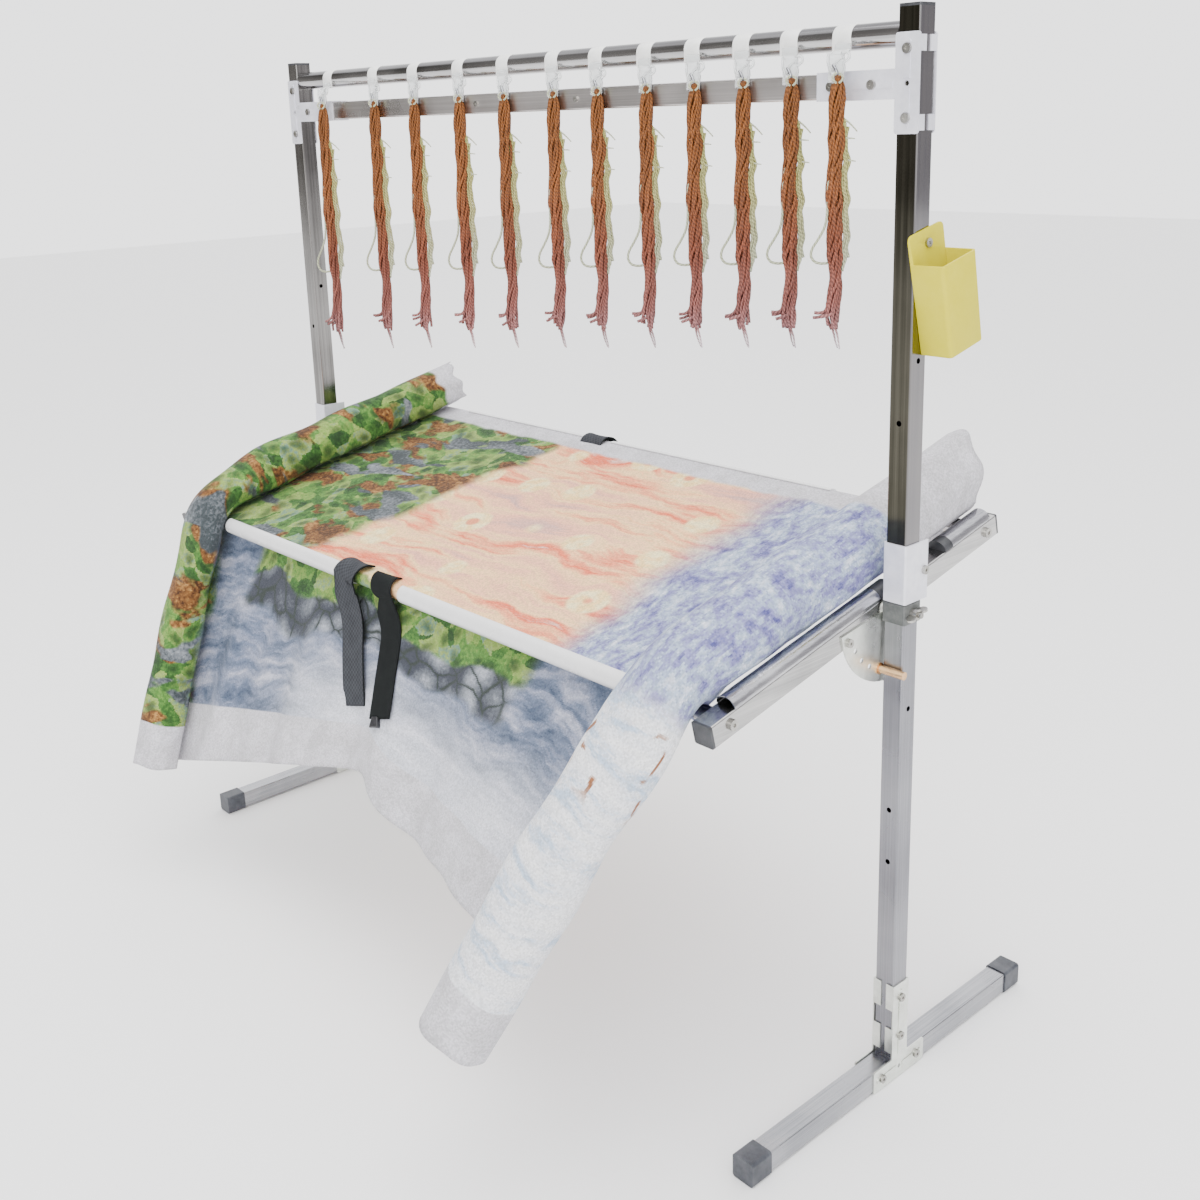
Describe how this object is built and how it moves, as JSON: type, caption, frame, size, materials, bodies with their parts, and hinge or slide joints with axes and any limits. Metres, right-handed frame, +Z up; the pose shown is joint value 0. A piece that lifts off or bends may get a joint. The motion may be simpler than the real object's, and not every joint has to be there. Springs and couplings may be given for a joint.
{
  "type": "embroidery floor stand",
  "caption": "Floor stand of square steel tube with a thread rail and a tilting frame that stretches a cross-stitch cloth, with thread clips and a tool box.",
  "frame": {"origin": "on the floor at the middle of the footprint of everything the stand covers", "axes": "+X to the right along the width seen from the user's side, +Y from the user's side (front) to the back, +Z up"},
  "size_m": [1.2172, 0.754, 1.177],
  "materials": {
    "satin_tube": "satin, drawn lengthways",
    "bright_tube": "polished, drawn lengthways",
    "polished_tube": "bright polished",
    "black_plastic": "satin moulded",
    "pale_zinc": "zinc plated, greenish white",
    "bright_zinc": "bright zinc plated",
    "zinc_fasteners": "zinc plated",
    "brass_pins": "turned",
    "yellow_plastic": "smooth moulded",
    "white_plastic": "smooth moulded",
    "stitched_cloth": "woven canvas with cross stitches",
    "woven_strap": "woven hook and loop",
    "thread": "soft stranded cotton"
  },
  "bodies": {
    "stand": {"right_foot": "satin_tube", "left_foot": "satin_tube", "foot_caps": "black_plastic", "right_lower_post": "satin_tube", "left_lower_post": "satin_tube", "right_upper_post": "bright_tube", "left_upper_post": "bright_tube", "tube_connectors": "bright_tube", "post_caps": "black_plastic", "joint_saddles": "pale_zinc", "pivot_collars": "black_plastic", "foot_clamps": "pale_zinc", "top_clamps": "bright_zinc", "clamp_bolts": "zinc_fasteners", "tube_screws": "zinc_fasteners", "right_rail": "bright_tube", "left_rail": "bright_tube", "thread_rod": "polished_tube", "rod_plugs": "black_plastic", "pivot_bolts": "zinc_fasteners"},
    "tilting_frame": {"right_arm": "bright_tube", "left_arm": "bright_tube", "arm_caps": "black_plastic", "front_bar": "polished_tube", "rear_bar": "polished_tube", "bar_screws": "zinc_fasteners", "bar_clamps": "white_plastic", "sector_plates": "pale_zinc", "stop_pins": "brass_pins", "side_clips": "bright_zinc", "side_clip_sleeves": "black_plastic", "cloth": "stitched_cloth", "straps": "woven_strap"},
    "right_wing": {"right_wing_nut": "zinc_fasteners"},
    "left_wing": {"left_wing_nut": "zinc_fasteners"},
    "swinging_box": {"tool_box": "yellow_plastic"},
    "thread_hanger_01": {"thread_clip_01": "white_plastic", "skein_01": "thread"},
    "thread_hanger_02": {"thread_clip_02": "white_plastic", "skein_02": "thread"},
    "thread_hanger_03": {"thread_clip_03": "white_plastic", "skein_03": "thread"},
    "thread_hanger_04": {"thread_clip_04": "white_plastic", "skein_04": "thread"},
    "thread_hanger_05": {"thread_clip_05": "white_plastic", "skein_05": "thread"},
    "thread_hanger_06": {"thread_clip_06": "white_plastic", "skein_06": "thread"},
    "thread_hanger_07": {"thread_clip_07": "white_plastic", "skein_07": "thread"},
    "thread_hanger_08": {"thread_clip_08": "white_plastic", "skein_08": "thread"},
    "thread_hanger_09": {"thread_clip_09": "white_plastic", "skein_09": "thread"},
    "thread_hanger_10": {"thread_clip_10": "white_plastic", "skein_10": "thread"},
    "thread_hanger_11": {"thread_clip_11": "white_plastic", "skein_11": "thread"},
    "thread_hanger_12": {"thread_clip_12": "white_plastic", "skein_12": "thread"}
  },
  "joints": [
    {"name": "frame_tilt", "type": "hinge", "parent": "stand", "child": "tilting_frame", "pos_m": [-0.01225, 0.125, 0.568], "axis": [1, 0, 0], "range_deg": [-45, 0]},
    {"name": "right_wing_turn", "type": "hinge", "parent": "stand", "child": "right_wing", "pos_m": [0.57225, 0.125, 0.568], "axis": [1, 0, 0], "continuous": true},
    {"name": "left_wing_turn", "type": "hinge", "parent": "stand", "child": "left_wing", "pos_m": [-0.59675, 0.125, 0.568], "axis": [1, 0, 0], "continuous": true},
    {"name": "tool_box_swivel", "type": "hinge", "parent": "stand", "child": "swinging_box", "pos_m": [0.57025, 0.131, 0.953], "axis": [1, 0, 0], "range_deg": [-20, 20]},
    {"name": "clip_slide_01", "type": "slide", "parent": "stand", "child": "thread_hanger_01", "axis": [1, 0, 0], "range_m": [-0.02, 0.02]},
    {"name": "clip_slide_02", "type": "slide", "parent": "stand", "child": "thread_hanger_02", "axis": [1, 0, 0], "range_m": [-0.02, 0.02]},
    {"name": "clip_slide_03", "type": "slide", "parent": "stand", "child": "thread_hanger_03", "axis": [1, 0, 0], "range_m": [-0.02, 0.02]},
    {"name": "clip_slide_04", "type": "slide", "parent": "stand", "child": "thread_hanger_04", "axis": [1, 0, 0], "range_m": [-0.02, 0.02]},
    {"name": "clip_slide_05", "type": "slide", "parent": "stand", "child": "thread_hanger_05", "axis": [1, 0, 0], "range_m": [-0.02, 0.02]},
    {"name": "clip_slide_06", "type": "slide", "parent": "stand", "child": "thread_hanger_06", "axis": [1, 0, 0], "range_m": [-0.02, 0.02]},
    {"name": "clip_slide_07", "type": "slide", "parent": "stand", "child": "thread_hanger_07", "axis": [1, 0, 0], "range_m": [-0.02, 0.02]},
    {"name": "clip_slide_08", "type": "slide", "parent": "stand", "child": "thread_hanger_08", "axis": [1, 0, 0], "range_m": [-0.02, 0.02]},
    {"name": "clip_slide_09", "type": "slide", "parent": "stand", "child": "thread_hanger_09", "axis": [1, 0, 0], "range_m": [-0.02, 0.02]},
    {"name": "clip_slide_10", "type": "slide", "parent": "stand", "child": "thread_hanger_10", "axis": [1, 0, 0], "range_m": [-0.02, 0.02]},
    {"name": "clip_slide_11", "type": "slide", "parent": "stand", "child": "thread_hanger_11", "axis": [1, 0, 0], "range_m": [-0.02, 0.02]},
    {"name": "clip_slide_12", "type": "slide", "parent": "stand", "child": "thread_hanger_12", "axis": [1, 0, 0], "range_m": [-0.02, 0.02]}
  ]
}
